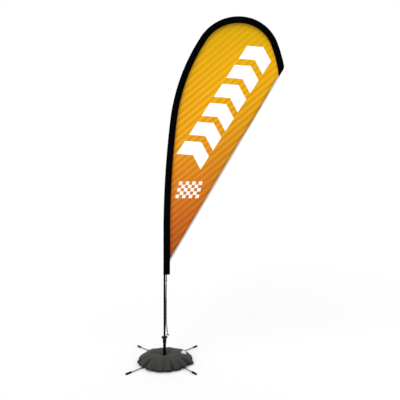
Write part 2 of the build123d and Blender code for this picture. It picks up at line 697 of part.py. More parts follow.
with BuildPart() as filler_neck:
    with BuildSketch(filler_plane.offset(-NECK_DEPTH)):
        Circle(NECK_RADII[0])
    extrude(amount=NECK_DEPTH + NECK_TOP)
    with BuildSketch(filler_plane):
        Circle(FILLER_FLANGE_RADIUS)
    extrude(amount=FILLER_FLANGE_THICKNESS)
    with BuildSketch(filler_plane.offset(-NECK_DEPTH)):
        Circle(NECK_RADII[1])
    extrude(amount=NECK_DEPTH + NECK_TOP, mode=Mode.SUBTRACT)

with BuildPart() as filler_seal:
    with BuildSketch(filler_plane.offset(NECK_TOP + SEAL_PLAY)):
        Circle(NECK_RADII[0])
        Circle(NECK_RADII[1], mode=Mode.SUBTRACT)
    extrude(amount=CAP_TOP - CAP_LID - NECK_TOP - SEAL_PLAY)

with BuildPart() as filler_cap:
    with BuildSketch(filler_plane.offset(CAP_BOTTOM)):
        Circle(CAP_RADIUS)
        with PolarLocations(CAP_RADIUS, CAP_RIBS):
            Circle(CAP_RIB_RADIUS)
    extrude(amount=CAP_TOP - CAP_BOTTOM)
    with BuildSketch(filler_plane.offset(CAP_BOTTOM)):
        Circle(NECK_RADII[0] + RUNNING_GAP)
    extrude(amount=CAP_TOP - CAP_LID - CAP_BOTTOM, mode=Mode.SUBTRACT)

# ---------------------------------------------------------------- write every piece
pieces = {
    "lower_crossbar": lower_crossbar,
    "upper_crossbar": upper_crossbar,
    "lower_leg_rods": lower_leg_rods,
    "upper_leg_rods": upper_leg_rods,
    "lower_leg_tips": lower_leg_tips,
    "upper_leg_tips": upper_leg_tips,
    "pivot_bolt": pivot_bolt,
    "floor_pad": floor_pad,
    "fold_washer": fold_washer,
    "bearing_housing": bearing_housing,
    "bearing_outer_race": bearing_outer_race,
    "bearing_balls": bearing_balls,
    "bearing_cage": bearing_cage,
    "bearing_inner_race": bearing_inner_race,
    "bearing_snap_ring": bearing_snap_ring,
    "spindle": spindle,
    "spindle_circlip": spindle_circlip,
    "foot_tube": foot_tube,
    "lower_bush": lower_bush,
    "upper_bush": upper_bush,
    "pole_collar": pole_collar,
    "lower_pole": lower_pole,
    "second_pole": second_pole,
    "third_pole": third_pole,
    "tip_rod": tip_rod,
    "second_ferrule": second_ferrule,
    "third_ferrule": third_ferrule,
    "rod_tip_cap": rod_tip_cap,
    "pole_sleeve": pole_sleeve,
    "tip_pocket": tip_pocket,
    "front_panel": front_panel,
    "blockout_liner": blockout_liner,
    "back_panel": back_panel,
    "edge_hem": edge_hem,
    "anchor_webbing": anchor_webbing,
    "anchor_ring": anchor_ring,
    "bungee_cord": bungee_cord,
    "tension_ring": tension_ring,
    "cord_hook": cord_hook,
    "thumb_screw": thumb_screw,
    "bag_top": bag_top,
    "bag_bottom": bag_bottom,
    "bag_piping": bag_piping,
    "filler_neck": filler_neck,
    "filler_seal": filler_seal,
    "filler_cap": filler_cap,
}

os.makedirs("parts", exist_ok=True)
for name, piece in pieces.items():
    piece.part.label = name
    export_step(piece.part, f"parts/{name}.step")
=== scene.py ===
import json
from functools import partialmethod
from math import asin, atan2, ceil, cos, degrees, exp, hypot, pi, radians, sin, sqrt

import bmesh
import bpy
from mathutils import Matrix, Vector, noise

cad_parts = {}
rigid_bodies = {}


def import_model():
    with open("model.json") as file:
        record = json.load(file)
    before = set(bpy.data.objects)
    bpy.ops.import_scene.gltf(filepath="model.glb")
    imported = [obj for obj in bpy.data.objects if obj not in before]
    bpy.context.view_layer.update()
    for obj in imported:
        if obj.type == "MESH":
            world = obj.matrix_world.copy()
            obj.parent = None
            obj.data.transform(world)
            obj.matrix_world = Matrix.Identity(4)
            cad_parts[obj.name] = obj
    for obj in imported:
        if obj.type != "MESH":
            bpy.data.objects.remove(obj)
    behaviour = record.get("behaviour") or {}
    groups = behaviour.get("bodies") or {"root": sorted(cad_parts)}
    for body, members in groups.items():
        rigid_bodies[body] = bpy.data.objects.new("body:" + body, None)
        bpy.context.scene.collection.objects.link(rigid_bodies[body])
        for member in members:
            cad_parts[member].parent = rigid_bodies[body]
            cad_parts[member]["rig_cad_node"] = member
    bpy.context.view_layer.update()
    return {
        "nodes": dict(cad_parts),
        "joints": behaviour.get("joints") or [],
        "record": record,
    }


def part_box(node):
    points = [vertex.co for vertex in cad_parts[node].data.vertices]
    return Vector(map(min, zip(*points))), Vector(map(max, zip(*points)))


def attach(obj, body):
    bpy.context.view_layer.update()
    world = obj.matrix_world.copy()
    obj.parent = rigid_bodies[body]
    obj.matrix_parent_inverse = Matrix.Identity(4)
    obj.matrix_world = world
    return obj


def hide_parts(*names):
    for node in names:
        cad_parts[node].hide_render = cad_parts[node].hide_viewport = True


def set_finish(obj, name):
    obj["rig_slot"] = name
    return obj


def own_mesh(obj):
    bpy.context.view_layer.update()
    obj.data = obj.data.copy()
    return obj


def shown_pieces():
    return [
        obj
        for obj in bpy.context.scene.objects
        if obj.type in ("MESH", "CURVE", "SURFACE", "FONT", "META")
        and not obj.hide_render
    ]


# A teardrop flag on a bent pole, on a folding cross base under a ring-shaped water bag.
#
# Metres, +Z up. The pole rises along +Z from the origin and bends over towards +X, and the
# flag hangs in the XZ plane. The front of the flag faces -Y.

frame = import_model()
joints = {joint["name"]: joint for joint in frame["joints"]}

# ---- sizes of the pole and the flag
POLE_BOTTOM = 0.145
BEND_START = 1.170           # height where the pole begins to lean over
BEND_ARCS = (                # (radius, angle in degrees), one after the other
    (8.930, 6.8), (1.815, 26.5), (0.410, 65.5), (0.372, 60.0), (1.210, 15.0),
)
SLEEVE_RADIUS = 0.01055      # middle of the sleeve's cloth, where it wraps the pole
SLEEVE_CLOTH = 0.0009
SLEEVE_EDGE = 0.051          # from the pole's axis to the edge of the sleeve's flaps
FLAP_START = 0.044           # where the flaps begin to lie flat on the panels
FLAP_OFFSET = 0.00125        # from the flag's middle plane to the middle of a flap
SLEEVE_STEP = 0.007          # between two rings of the sleeve's mesh
PUCKER_DEPTH = 0.0011
WRINKLE_DEPTH = 0.0005
EDGE_WAVER = 0.0006
MOUTH_HEM = 0.022            # length of the doubled cloth at the sleeve's mouth
MOUTH_HEM_PROUD = 0.0005     # how far that hem stands out
POCKET_LENGTH = 0.150
POCKET_RADIUS = 0.0114
POCKET_LAP = 0.012           # how far the pocket laps over the sleeve
POCKET_SPARE = 0.048         # cloth past the pole's end, before the tip is cut
POCKET_FLAP_FULLNESS = 1.35  # how much further apart the pocket's flaps lie than the sleeve's
TIP_CORNERS = ((1.119, 2.745), (1.109, 2.706), (1.071, 2.645))   # of the slanted tip, (x, z)
SEAM_INSET = 0.044           # from the pole's axis to the line where the panels start
PANEL_CLOTH = 0.0005
PANEL_ROWS = 190
PANEL_COLUMNS = 56
FOLD_SPACING = 0.21          # between the shallow folds that run along the free edge
FOLD_REACH = 0.30            # how far from the free edge they fade
FOLD_DEPTH = 0.0024
BILLOW_DEPTH = 0.0050
HEM_WIDTH = 0.014
HEM_THICKNESS = 0.0024
HEM_CATCH = 0.011            # how far the hem's tape laps over the panels
HEM_PROFILE = (              # (distance from the free edge, share of half the thickness)
    (0.0006, 0.8), (0.002, 1.0), (0.007, 0.92), (0.0125, 0.98), (HEM_WIDTH, 0.72),
)
HEM_GATHER = 0.0003
HEM_STITCH_LINES = (0.0028, 0.0112)   # from the free edge
HEM_STEP = 0.008
STITCH_PITCH = 0.0045
STITCH_LENGTH = 0.0030
STITCH_RADIUS = 0.00035
STITCH_INSET = 0.0032        # from the flap's edge to its row of stitches

# ---- sizes of the cord and the bag
CORD_TOP = (0.018, 0.728)    # (x, z) where the cord hangs on its loop
CORD_FOOT = (0.0295, 0.236)  # (x, z) where it goes round the hook
CORD_RADIUS = 0.0025
CORD_BIGHT = 0.0058          # half the distance between the two strands, at both ends
CORD_SPACING = 0.0026        # the same between the ends, where the strands touch
CORD_NEAREST = 0.0123        # from the pole's axis to the strand that lies along the pole
CORD_TWIST_FOOT = 0.590      # the strands are wound round each other above this height
CORD_TURNS = 2.25
CORD_FOOT_SHARE = 0.22       # share of the cord that leads away from the pole to the hook
CORD_TOP_SHARE = 0.30        # share of the cord that leads away from the pole to its loop
STRAP_WIDTH = 0.008
STRAP_THICKNESS = 0.0014
BAG_HOLE_RADIUS = 0.0200
BAG_HOLE_HEIGHTS = (0.0305, 0.0460)
BAG_CREST = (0.105, 0.0585)  # (radius, height)
BAG_BACK_DROP = 0.0070       # the crest is this much lower at the back
BAG_RIM_RADIUS = 0.2430
BAG_SHIFT = (0.010, -0.024)  # the filled bag lies this far off centre, to the right and front
BAG_RIM_HEIGHT = 0.0085      # between the legs
BAG_RIM_WAVE = 0.004
BAG_FLOOR = 0.0045           # lowest point of the cloth between the legs
BAG_CLOTH_MARGIN = 0.0022    # the bag's cloth stays this far from the legs
BAG_EARS = ((-20, 0.024), (201, 0.011), (173, 0.006), (100, -0.004))   # (azimuth, how far out)
BAG_FOLDS = (                # (azimuth, depth, half width in degrees) of the deep gathers
    (232, 0.015, 5), (292, 0.013, 4), (329, 0.015, 5), (256, 0.006, 5), (310, 0.006, 4), (205, 0.009, 4),
    (20, 0.007, 5), (64, 0.007, 6), (118, 0.008, 6), (158, 0.008, 5), (345, 0.005, 4), (274, 0.005, 3),
)
BAG_COLUMNS = 240
BAG_TOP_ROWS = 26
BAG_BOTTOM_ROWS = 22
PIPING_RADIUS = 0.0030
FLANGE_SEAT = (0.027, 0.052)  # from the filler's axis: cloth held flat up to, and free again from

# ---- sizes of the legs under the bag
LEG_AZIMUTHS = (45, 135, 225, 315)
LEG_RADIUS = 0.006
LEG_END = 0.425
LOWER_LEG_AXIS = 0.0074
UPPER_LEG_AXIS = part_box("upper_crossbar")[1][2] - LEG_RADIUS
DRAPE_WIDTH = 0.027          # how far to the side of a leg the cloth is still lifted by it


# ---- meshes
def new_piece(mesh, body, slot, *nodes):
    """Puts a finished mesh in the scene under its own name: it rides on a body and stands for CAD nodes."""
    for polygon in mesh.polygons:
        polygon.use_smooth = True
    piece = bpy.data.objects.new(mesh.name, mesh)
    bpy.context.scene.collection.objects.link(piece)
    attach(piece, body)
    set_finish(piece, slot)
    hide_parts(*nodes)
    return piece


def loft(name, rings, closed_ring=True, closed_path=False, capped=False):
    """A mesh through rings of points. Its UV map holds metres: along the path, and round the ring."""
    ring_size = len(rings[0])
    points = [point for ring in rings for point in ring]
    spans = ring_size if closed_ring else ring_size - 1
    steps = len(rings) if closed_path else len(rings) - 1
    faces = []
    corners = []
    along = [0.0]
    for i in range(steps):
        along.append(along[-1] + (rings[(i + 1) % len(rings)][0] - rings[i][0]).length)
    around = [0.0]
    for j in range(spans):
        around.append(around[-1] + (rings[0][(j + 1) % ring_size] - rings[0][j]).length)
    for i in range(steps):
        this_ring = i * ring_size
        next_ring = (i + 1) % len(rings) * ring_size
        for j in range(spans):
            k = (j + 1) % ring_size
            faces.append((this_ring + j, this_ring + k, next_ring + k, next_ring + j))
            near, far = along[i], along[i + 1]
            corners += [(near, around[j]), (near, around[j + 1]), (far, around[j + 1]), (far, around[j])]
    if capped:
        last_ring = (len(rings) - 1) * ring_size
        faces.append(tuple(reversed(range(ring_size))))
        faces.append(tuple(range(last_ring, last_ring + ring_size)))
        corners += [(0.0, 0.0)] * (2 * ring_size)
    mesh = bpy.data.meshes.new(name)
    mesh.from_pydata(points, [], faces)
    layer = mesh.uv_layers.new(name="metres")
    for loop, corner in zip(layer.data, corners):
        loop.uv = corner
    return mesh


def closed_tube(name, path, radius, sides):
    """A round bar along a closed path, without twist about the path."""
    rings = []
    side = None
    angles = [2 * pi * k / sides for k in range(sides)]
    for i, point in enumerate(path):
        before = path[i - 1]
        after = path[(i + 1) % len(path)]
        along = (after - before).normalized()
        if side is None:
            side = along.orthogonal().normalized()
        side = (side - along * side.dot(along)).normalized()
        up = along.cross(side)
        rings.append([point + radius * (cos(a) * side + sin(a) * up) for a in angles])
    return loft(name, rings, closed_path=True)


def stitch_row(name, places, slot):
    """A row of stitches. Each place is (middle, direction of the row, outward direction)."""
    points = []
    faces = []
    sides = 6
    profile = ((-0.5, 0.35), (-0.25, 1.0), (0.25, 1.0), (0.5, 0.35))   # (share of length, fullness)
    for middle, along, outward in places:
        across = along.cross(outward)
        first = len(points)
        for share, fullness in profile:
            centre = middle + along * (share * STITCH_LENGTH)
            for k in range(sides):
                angle = 2 * pi * k / sides
                spoke = cos(angle) * across + sin(angle) * outward
                points.append(centre + spoke * (STITCH_RADIUS * fullness))
        for ring in range(len(profile) - 1):
            start = first + ring * sides
            for k in range(sides):
                n = (k + 1) % sides
                faces.append((start + k, start + n, start + sides + n, start + sides + k))
        faces.append(tuple(first + k for k in reversed(range(sides))))
        faces.append(tuple(start + sides + k for k in range(sides)))
    mesh = bpy.data.meshes.new(name)
    mesh.from_pydata(points, [], faces)
    new_piece(mesh, "pole", slot)


def thicken(piece, thickness):
    """Gives a sheet of cloth its thickness, half to each side."""
    shell = piece.modifiers.new("thickness", "SOLIDIFY")
    shell.thickness = thickness
    shell.offset = 0


def smooth_step(value, low, high):
    """0 below low, 1 above high, and a smooth change between them."""
    share = min(max((value - low) / (high - low), 0.0), 1.0)
    return share * share * (3 - 2 * share)


# ---- the pole's line
pole_length = BEND_START - POLE_BOTTOM + sum(radius * radians(angle) for radius, angle in BEND_ARCS)


def pole_frame(distance):
    """The pole's axis at a distance from its lower end: point, direction, direction to the flag."""
    straight = min(distance, BEND_START - POLE_BOTTOM)
    point = Vector((0, 0, POLE_BOTTOM + straight))
    left = distance - straight
    lean = 0.0
    for radius, angle in BEND_ARCS:
        turn = min(left / radius, radians(angle))
        middle = point + radius * Vector((cos(lean), 0, -sin(lean)))
        lean += turn
        point = middle - radius * Vector((cos(lean), 0, -sin(lean)))
        left -= turn * radius
    along = Vector((sin(lean), 0, cos(lean)))
    inward = Vector((cos(lean), 0, -sin(lean)))
    return point + along * left, along, inward


sleeve_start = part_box("pole_sleeve")[0][2] - POLE_BOTTOM
pocket_start = pole_length - POCKET_LENGTH
seam_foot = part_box("front_panel")[0][2] - POLE_BOTTOM


def seam_point(distance):
    """A point on the line where the panels start, inside the sleeve's flaps."""
    point, along, inward = pole_frame(distance)
    return point + SEAM_INSET * inward


edge_foot = seam_point(seam_foot)
edge_tip = seam_point(pole_length)
edge_along = (edge_tip - edge_foot).normalized()
edge_inward = edge_along.cross(Vector((0, 1, 0)))
if edge_inward.x > 0:
    edge_inward.negate()
edge_length = (edge_tip - edge_foot).length


# ---- the flag's panels
def billow(row_share, column_share):
    """How far the cloth stands out of its middle plane, by its share along and across the flag."""
    start = seam_point(seam_foot + row_share * (pole_length - seam_foot))
    end = edge_foot.lerp(edge_tip, row_share)
    point = start.lerp(end, column_share)
    edge_distance = (1 - column_share) * (end - start).length
    drift = noise.noise(Vector((point.x * 1.7, 3.1, point.z * 1.3)))
    fold = cos(2 * pi * edge_distance / FOLD_SPACING + 2.6 * drift) * exp(-edge_distance / FOLD_REACH)
    broad = noise.noise(Vector((point.x * 2.3, 7.7, point.z * 1.9)))
    held = smooth_step(column_share, 0.0, 0.35) * max(sin(pi * row_share), 0.0) ** 0.6
    return held * (FOLD_DEPTH * fold + BILLOW_DEPTH * broad)


def make_panel(name, offset, slot, node):
    """One cloth layer of the flag, a little in front of or behind the middle plane."""
    rows = []
    seam_distances = []
    for i in range(PANEL_ROWS + 1):
        row_share = i / PANEL_ROWS
        start = seam_point(seam_foot + row_share * (pole_length - seam_foot))
        end = edge_foot.lerp(edge_tip, row_share) + edge_inward * (HEM_WIDTH - HEM_CATCH)
        row = []
        for j in range(PANEL_COLUMNS + 1):
            column_share = j / PANEL_COLUMNS
            point = start.lerp(end, column_share)
            point.y = billow(row_share, column_share) + offset
            row.append(point)
            seam_distances.append(column_share * (end - start).length)
        rows.append(row)
    mesh = loft(name, rows, closed_ring=False)
    seam = mesh.attributes.new("seam_distance", "FLOAT", "POINT")
    seam.data.foreach_set("value", seam_distances)
    piece = new_piece(mesh, "pole", slot, node)
    thicken(piece, PANEL_CLOTH)


make_panel("flag_front", -PANEL_CLOTH, "printed_fabric", "front_panel")
make_panel("flag_liner", 0.0, "liner_fabric", "blockout_liner")
make_panel("flag_back", PANEL_CLOTH, "printed_fabric", "back_panel")


# ---- the sleeve
def sleeve_outline(radius):
    """Points (towards the flag, sideways) from the front flap's edge, round the pole, to the back."""
    slope = asin((radius - FLAP_OFFSET) / FLAP_START)
    flap = Vector((FLAP_START, FLAP_OFFSET))
    touch = Vector((radius * sin(slope), radius * cos(slope)))
    front = [(SLEEVE_EDGE, FLAP_OFFSET), (SLEEVE_EDGE - 0.002, FLAP_OFFSET), (FLAP_START, FLAP_OFFSET)]
    side_steps = 10
    front += [flap.lerp(touch, k / side_steps) for k in range(1, side_steps + 1)]
    arc = []
    arc_steps = 14
    for k in range(1, arc_steps):
        angle = pi / 2 - slope + (pi + 2 * slope) * k / arc_steps
        arc.append((radius * cos(angle), radius * sin(angle)))
    return [(a, -b) for a, b in front + arc] + list(reversed(front))


def pucker(distance, towards_flag, side):
    """How far the sleeve's cloth bulges, more between the pole and the seam than on either."""
    free = smooth_step(towards_flag, 0.004, 0.016) * (1 - smooth_step(towards_flag, 0.036, 0.046))
    broad = noise.noise(Vector((distance * 26, side * 5.3, towards_flag * 18)))
    fine = noise.noise(Vector((distance * 95, side * 9.1, towards_flag * 30)))
    seam = 0.25 * smooth_step(towards_flag, 0.030, 0.042)
    return free * PUCKER_DEPTH * broad + (free + seam) * WRINKLE_DEPTH * fine


def sleeve_ring(distance, outline):
    """One ring of the sleeve, with its puckers."""
    point, along, inward = pole_frame(distance)
    edge_noise = noise.noise(Vector((distance * 14, 0.5, 0)))
    ring = []
    for towards_flag, sideways in outline:
        side = 1 if sideways > 0 else -1
        bulge = side * pucker(distance, towards_flag, side)
        waver = EDGE_WAVER * edge_noise * smooth_step(towards_flag, 0.03, 0.05)
        ring.append(point + inward * (towards_flag + waver) + Vector((0, sideways + bulge, 0)))
    return ring


def make_sleeve():
    """Black cloth folded round the pole, with a doubled hem at its mouth."""
    outline = sleeve_outline(SLEEVE_RADIUS)
    hem_outline = sleeve_outline(SLEEVE_RADIUS + MOUTH_HEM_PROUD)
    count = ceil((pocket_start - sleeve_start) / SLEEVE_STEP)
    step = (pocket_start - sleeve_start) / count
    rings = []
    for distance in (0.0, MOUTH_HEM / 2, MOUTH_HEM):
        rings.append(sleeve_ring(sleeve_start + distance, hem_outline))
    for i in range(ceil(MOUTH_HEM / step) + 1, count + 1):
        rings.append(sleeve_ring(sleeve_start + i * step, outline))
    mesh = loft("sleeve", rings, closed_ring=False)
    piece = new_piece(mesh, "pole", "sleeve_fabric", "pole_sleeve")
    thicken(piece, SLEEVE_CLOTH)


def make_pocket():
    """The doubled end of the sleeve that holds the rod's tip, cut off at a slant."""
    outline = []
    for towards_flag, sideways in sleeve_outline(POCKET_RADIUS):
        fullness = POCKET_FLAP_FULLNESS if towards_flag >= FLAP_START else 1.0
        outline.append((towards_flag, sideways * fullness))
    start = pocket_start - POCKET_LAP
    reach = POCKET_LENGTH + POCKET_LAP + POCKET_SPARE
    count = round(reach / SLEEVE_STEP)
    rings = [sleeve_ring(start + reach * i / count, outline) for i in range(count + 1)]
    mesh = loft("tip_pocket_cloth", rings, capped=True)
    shape = bmesh.new()
    shape.from_mesh(mesh)
    corners = [Vector((x, 0, z)) for x, z in TIP_CORNERS]
    for outer, inner in zip(corners, corners[1:]):
        normal = (inner - outer).cross(Vector((0, 1, 0)))
        everything = shape.verts[:] + shape.edges[:] + shape.faces[:]
        bmesh.ops.bisect_plane(shape, geom=everything, plane_co=inner, plane_no=normal, clear_outer=True)
        rim = [edge for edge in shape.edges if edge.is_boundary]
        bmesh.ops.contextual_create(shape, geom=rim)
    bmesh.ops.triangulate(shape, faces=[face for face in shape.faces if len(face.verts) > 4])
    shape.to_mesh(mesh)
    shape.free()
    mesh.set_sharp_from_angle(angle=radians(50))
    new_piece(mesh, "pole", "sleeve_fabric", "tip_pocket")


make_sleeve()
make_pocket()


# ---- the hem of the free edge
hem_low, hem_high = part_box("edge_hem")
hem_first = (hem_low[2] - edge_foot.z) / (edge_tip.z - edge_foot.z)
hem_last = (hem_high[2] - edge_foot.z) / (edge_tip.z - edge_foot.z)


def make_hem():
    """Pale tape folded over the free edge, following the billow of the cloth."""
    face = [(inset, HEM_THICKNESS / 2 * fullness) for inset, fullness in HEM_PROFILE]
    outline = [(0.0, 0.0)] + face + [(a, -b) for a, b in reversed(face)]
    count = ceil((hem_last - hem_first) * edge_length / HEM_STEP)
    rings = []
    for i in range(count + 1):
        share = hem_first + (hem_last - hem_first) * i / count
        middle = edge_foot.lerp(edge_tip, share)
        middle.y = billow(share, 1.0)
        gather = HEM_GATHER * noise.noise(Vector((share * 90, 2.2, 0)))
        rings.append([middle + edge_inward * a + Vector((0, b + gather, 0)) for a, b in outline])
    mesh = loft("free_edge_hem", rings, capped=True)
    new_piece(mesh, "pole", "white_tape", "edge_hem")


make_hem()


# ---- stitching on the flag
def sleeve_stitches():
    """One row of stitches along each flap of the sleeve."""
    places = []
    count = int((pocket_start - sleeve_start) / STITCH_PITCH)
    inset = SLEEVE_EDGE - STITCH_INSET
    lift = FLAP_OFFSET + SLEEVE_CLOTH / 2 + STITCH_RADIUS * 0.3
    for side in (-1, 1):
        outward = Vector((0, side, 0))
        for i in range(count):
            point, along, inward = pole_frame(sleeve_start + (i + 0.5) * STITCH_PITCH)
            places.append((point + inward * inset + outward * lift, along, outward))
    stitch_row("sleeve_stitching", places, "sleeve_fabric")


def hem_stitches():
    """Two rows of stitches along each face of the hem."""
    places = []
    count = int((hem_last - hem_first) * edge_length / STITCH_PITCH)
    for inset in HEM_STITCH_LINES:
        for side in (-1, 1):
            outward = Vector((0, side, 0))
            for i in range(count):
                share = hem_first + (hem_last - hem_first) * (i + 0.5) / count
                middle = edge_foot.lerp(edge_tip, share) + edge_inward * inset
                middle.y = billow(share, 1.0)
                places.append((middle + outward * (HEM_THICKNESS / 2), edge_along, outward))
    stitch_row("hem_stitching", places, "white_tape")


sleeve_stitches()
hem_stitches()


# ---- cord and strap
def cord_path():
    """The closed line of the cord: up one strand, over the metal loop, and down the other."""
    top = Vector((CORD_TOP[0], 0, CORD_TOP[1]))
    foot = Vector((CORD_FOOT[0], 0, CORD_FOOT[1]))
    steps = 96
    strand = []
    for k in range(steps + 1):
        share = k / steps
        middle = foot.lerp(top, share)
        wound = smooth_step(middle.z, CORD_TWIST_FOOT - 0.03, CORD_TOP[1] - 0.012)
        quarter_turn = pi / 2 * smooth_step(share, 0.01, 0.12)
        angle = pi / 2 + quarter_turn + 2 * pi * CORD_TURNS * wound
        drawn_in = smooth_step(share, 0.0, 0.34) * (1 - smooth_step(share, 0.95, 1.0))
        apart = CORD_BIGHT + (CORD_SPACING - CORD_BIGHT) * drawn_in
        along_pole = CORD_NEAREST + apart
        middle.x = (
            along_pole
            + (foot.x - along_pole) * max(1 - share / CORD_FOOT_SHARE, 0.0) ** 2
            + (top.x - along_pole) * max((share - 1 + CORD_TOP_SHARE) / CORD_TOP_SHARE, 0.0) ** 2
        )
        strand.append((middle, angle, apart))
    up = [m + a * Vector((cos(t), sin(t), 0)) for m, t, a in strand]
    down = [m - a * Vector((cos(t), sin(t), 0)) for m, t, a in strand]
    bend_steps = 8
    over = []
    under = []
    last_angle = strand[-1][1]
    sideways = Vector((cos(last_angle), sin(last_angle), 0))
    back = Vector((0, 1, 0))
    rise = Vector((0, 0, 1))
    for k in range(1, bend_steps):
        angle = pi * k / bend_steps
        over.append(top + CORD_BIGHT * (cos(angle) * sideways + sin(angle) * rise))
        under.append(foot - CORD_BIGHT * (cos(angle) * back + sin(angle) * rise))
    return up + over + list(reversed(down)) + under


def make_cord():
    """The elastic cord."""
    mesh = closed_tube("elastic_cord_loop", cord_path(), CORD_RADIUS, 12)
    piece = new_piece(mesh, "pole", "elastic_cord", "bungee_cord")
    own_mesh(piece)


def make_strap():
    """Flat webbing folded through the metal loop, with both ends sewn inside the sleeve."""
    low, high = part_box("anchor_webbing")
    half_gap = (high[1] - low[1]) / 2 - STRAP_THICKNESS / 2
    bottom = low[2] + half_gap + STRAP_THICKNESS / 2
    middle_x = (low[0] + high[0]) / 2
    back_side = [(half_gap, high[2])]
    for share in (0.3, 0.6, 0.85):
        waist = half_gap * (0.75 + 0.25 * cos(share * pi))
        back_side.append((waist, high[2] + (bottom - high[2]) * share))
    bight_steps = 10
    bight = []
    for k in range(bight_steps + 1):
        angle = pi * k / bight_steps
        bight.append((-half_gap * cos(angle), bottom - half_gap * sin(angle)))
    line = [(-y, z) for y, z in back_side] + bight + list(reversed(back_side))
    across = [STRAP_WIDTH / 2 * share for share in (-1.0, -0.6, 0.0, 0.6, 1.0)]
    rings = [[Vector((middle_x + x, y, z)) for x in across] for y, z in line]
    mesh = loft("sleeve_strap", rings, closed_ring=False)
    piece = new_piece(mesh, "pole", "black_webbing", "anchor_webbing")
    thicken(piece, STRAP_THICKNESS)


make_cord()
make_strap()


# ---- water bag
def leg_height(azimuth, radius):
    """Height of a leg's axis under the bag. The upper pair slopes down to the floor."""
    if round((azimuth - 45) / 90) % 2 == 0:
        return LOWER_LEG_AXIS
    return UPPER_LEG_AXIS + (LOWER_LEG_AXIS - UPPER_LEG_AXIS) * radius / LEG_END


def nearest_leg(azimuth):
    """The leg that is closest to an azimuth, in degrees."""
    return min(LEG_AZIMUTHS, key=lambda leg: abs((azimuth - leg + 180) % 360 - 180))


def drape(azimuth, radius, free_height):
    """Height of cloth that hangs at free_height but has to go over the nearest leg."""
    leg = nearest_leg(azimuth)
    aside = radius * sin(radians(azimuth - leg))
    over = leg_height(leg, radius) + LEG_RADIUS + BAG_CLOTH_MARGIN
    return free_height + max(over - free_height, 0.0) * exp(-(aside / DRAPE_WIDTH) ** 2)


def above_legs(point):
    """The point, lifted if it would touch a leg or the floor."""
    azimuth = degrees(atan2(point.y, point.x))
    radius = hypot(point.x, point.y)
    leg = nearest_leg(azimuth)
    aside = abs(radius * sin(radians(azimuth - leg)))
    reach = LEG_RADIUS + BAG_CLOTH_MARGIN
    height = point.z
    if aside < reach:
        height = max(height, leg_height(leg, radius) + sqrt(reach ** 2 - aside ** 2))
    return Vector((point.x, point.y, max(height, BAG_FLOOR)))


def spoke_at(azimuth):
    """Direction from the bag's middle towards an azimuth."""
    return Vector((cos(radians(azimuth)), sin(radians(azimuth)), 0))


def swell(azimuth, middle, half_width):
    """1 at the middle azimuth, fading to 0 on both sides of it."""
    aside = (azimuth - middle + 180) % 360 - 180
    return exp(-(aside / half_width) ** 2)


def crease_depth(azimuth):
    """How deep the gathers are at an azimuth, near the rim."""
    return sum(depth * swell(azimuth, at, half_width) for at, depth, half_width in BAG_FOLDS)


def rim_place(azimuth):
    """Radius and height of the bag's rim, which waves in and out and rides over the legs."""
    spoke = spoke_at(azimuth)
    broad = noise.noise(spoke * 2.3 + Vector((4.1, 0, 0)))
    fine = noise.noise(spoke * 7.5 + Vector((0, 9.3, 0)))
    shift = BAG_SHIFT[0] * spoke.x + BAG_SHIFT[1] * spoke.y
    ears = sum(size * swell(azimuth, at, 9) for at, size in BAG_EARS)
    waves = BAG_RIM_WAVE * broad + BAG_RIM_WAVE * fine
    radius = BAG_RIM_RADIUS + shift + ears - 0.5 * crease_depth(azimuth) + waves
    free_height = BAG_RIM_HEIGHT + BAG_RIM_WAVE * abs(fine)
    height = drape(azimuth, radius, free_height) + PIPING_RADIUS * 0.5
    return radius, height


def top_height(radius, azimuth):
    """Height of the filled bag's upper cloth, with gathers that fade in from the rim."""
    rim_radius, rim_height = rim_place(azimuth)
    back = sin(radians(azimuth))
    crest_radius, crest_height = BAG_CREST
    crest_height -= BAG_BACK_DROP * max(back, 0.0)
    if radius < crest_radius:
        share = (crest_radius - radius) / (crest_radius - BAG_HOLE_RADIUS)
        return crest_height - (crest_height - BAG_HOLE_HEIGHTS[1]) * share ** 2
    share = min((radius - crest_radius) / (rim_radius - crest_radius), 1.0)
    fullness = (1 - share ** (2.0 - 0.4 * back)) ** (0.80 + 0.12 * back)
    height = rim_height + (crest_height - rim_height) * fullness
    gather = noise.noise(spoke_at(azimuth) * 6.0 + Vector((1.7, 0, radius * 4)))
    height += (0.0055 - 0.0025 * back) * gather * smooth_step(share, 0.25, 0.85) * fullness ** 0.5
    height -= crease_depth(azimuth) * smooth_step(share, 0.30, 0.80) * fullness ** 0.3
    return max(height, bottom_height(radius, azimuth) + 0.003 * fullness)


def bottom_height(radius, azimuth):
    """Height of the lower cloth: up at the hole, down near the floor between the legs."""
    rim_radius, rim_height = rim_place(azimuth)
    free_height = BAG_FLOOR + (BAG_HOLE_HEIGHTS[0] - BAG_FLOOR) * (1 - smooth_step(radius, 0.03, 0.10))
    height = drape(azimuth, radius, free_height)
    return height + (rim_height - height) * smooth_step(radius, 0.9 * rim_radius, rim_radius)


